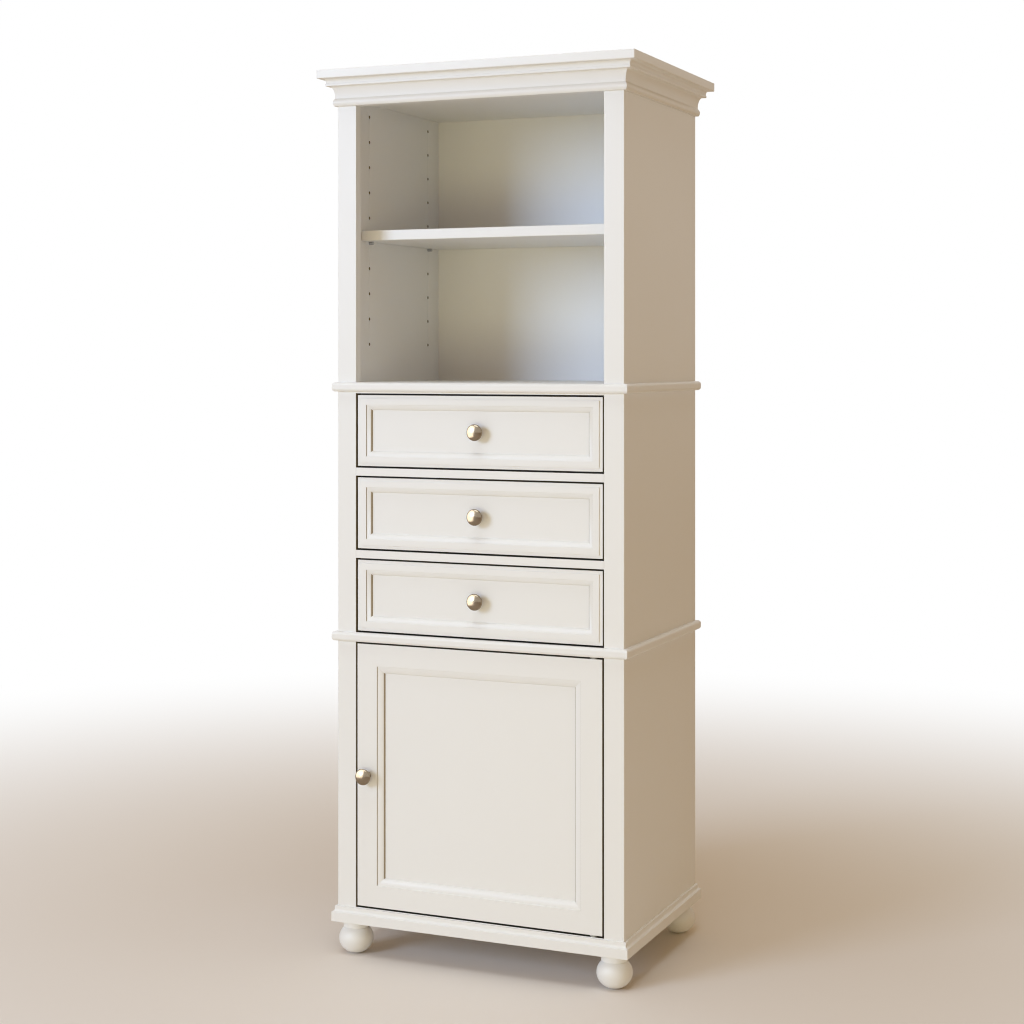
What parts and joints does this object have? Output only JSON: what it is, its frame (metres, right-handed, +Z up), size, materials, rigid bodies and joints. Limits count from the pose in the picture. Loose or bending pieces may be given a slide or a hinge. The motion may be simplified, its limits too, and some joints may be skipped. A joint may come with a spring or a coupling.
{
  "type": "linen cabinet",
  "caption": "Tall painted cabinet on ball feet with a crown moulding, an open shelf bay, inset drawers that slide and an inset panelled door that swings.",
  "frame": {"origin": "on the floor, under the middle of the overall width and depth", "axes": "+Z up, +X to the right as seen from the front, and +Y to the back, so the front faces -Y"},
  "size_m": [0.652, 0.48, 1.7115],
  "materials": {
    "painted_wood": "warm white satin paint over wood",
    "bare_wood": "clear-sealed pale wood",
    "satin_nickel": "satin nickel plate",
    "steel": "zinc-plated steel",
    "nylon": "off-white moulded nylon"
  },
  "bodies": {
    "carcass": {"side_panel_left": "painted_wood", "side_panel_right": "painted_wood", "face_stile_left": "painted_wood", "face_stile_right": "painted_wood", "face_top_rail": "painted_wood", "face_upper_rail": "painted_wood", "drawer_rails": "painted_wood", "face_lower_rail": "painted_wood", "face_bottom_rail": "painted_wood", "top_slab": "painted_wood", "ceiling_board": "painted_wood", "display_floor": "painted_wood", "drawer_divider": "painted_wood", "bottom_board": "painted_wood", "back_panel": "painted_wood", "display_shelf": "painted_wood", "cupboard_shelf": "painted_wood", "crown_front": "painted_wood", "crown_returns": "painted_wood", "upper_belt_front": "painted_wood", "upper_belt_returns": "painted_wood", "lower_belt_front": "painted_wood", "lower_belt_returns": "painted_wood", "base_front": "painted_wood", "base_returns": "painted_wood", "ball_feet": "painted_wood", "foot_bolts": "steel", "corner_blocks": "bare_wood", "shelf_pins": "steel", "drawer_runners": "bare_wood", "hinge_bushes": "nylon", "door_catch": "nylon"},
    "door": {"door_hinge_stile": "painted_wood", "door_knob_stile": "painted_wood", "door_top_rail": "painted_wood", "door_bottom_rail": "painted_wood", "door_panel": "painted_wood", "door_knob": "satin_nickel", "door_knob_screw": "steel", "hinge_pins": "steel", "strike_plate": "steel"},
    "drawer_1": {"drawer_1_front": "painted_wood", "drawer_1_sides": "bare_wood", "drawer_1_back": "bare_wood", "drawer_1_bottom": "bare_wood", "drawer_1_knob": "satin_nickel", "drawer_1_knob_screw": "steel"},
    "drawer_2": {"drawer_2_front": "painted_wood", "drawer_2_sides": "bare_wood", "drawer_2_back": "bare_wood", "drawer_2_bottom": "bare_wood", "drawer_2_knob": "satin_nickel", "drawer_2_knob_screw": "steel"},
    "drawer_3": {"drawer_3_front": "painted_wood", "drawer_3_sides": "bare_wood", "drawer_3_back": "bare_wood", "drawer_3_bottom": "bare_wood", "drawer_3_knob": "satin_nickel", "drawer_3_knob_screw": "steel"}
  },
  "joints": [
    {"name": "door_swing", "type": "hinge", "parent": "carcass", "child": "door", "pos_m": [0.2325, -0.2, 0.351], "axis": [0, 0, 1], "range_deg": [0, 110]},
    {"name": "drawer_1_slide", "type": "slide", "parent": "carcass", "child": "drawer_1", "axis": [0, -1, 0], "range_m": [0, 0.28]},
    {"name": "drawer_2_slide", "type": "slide", "parent": "carcass", "child": "drawer_2", "axis": [0, -1, 0], "range_m": [0, 0.28]},
    {"name": "drawer_3_slide", "type": "slide", "parent": "carcass", "child": "drawer_3", "axis": [0, -1, 0], "range_m": [0, 0.28]}
  ]
}
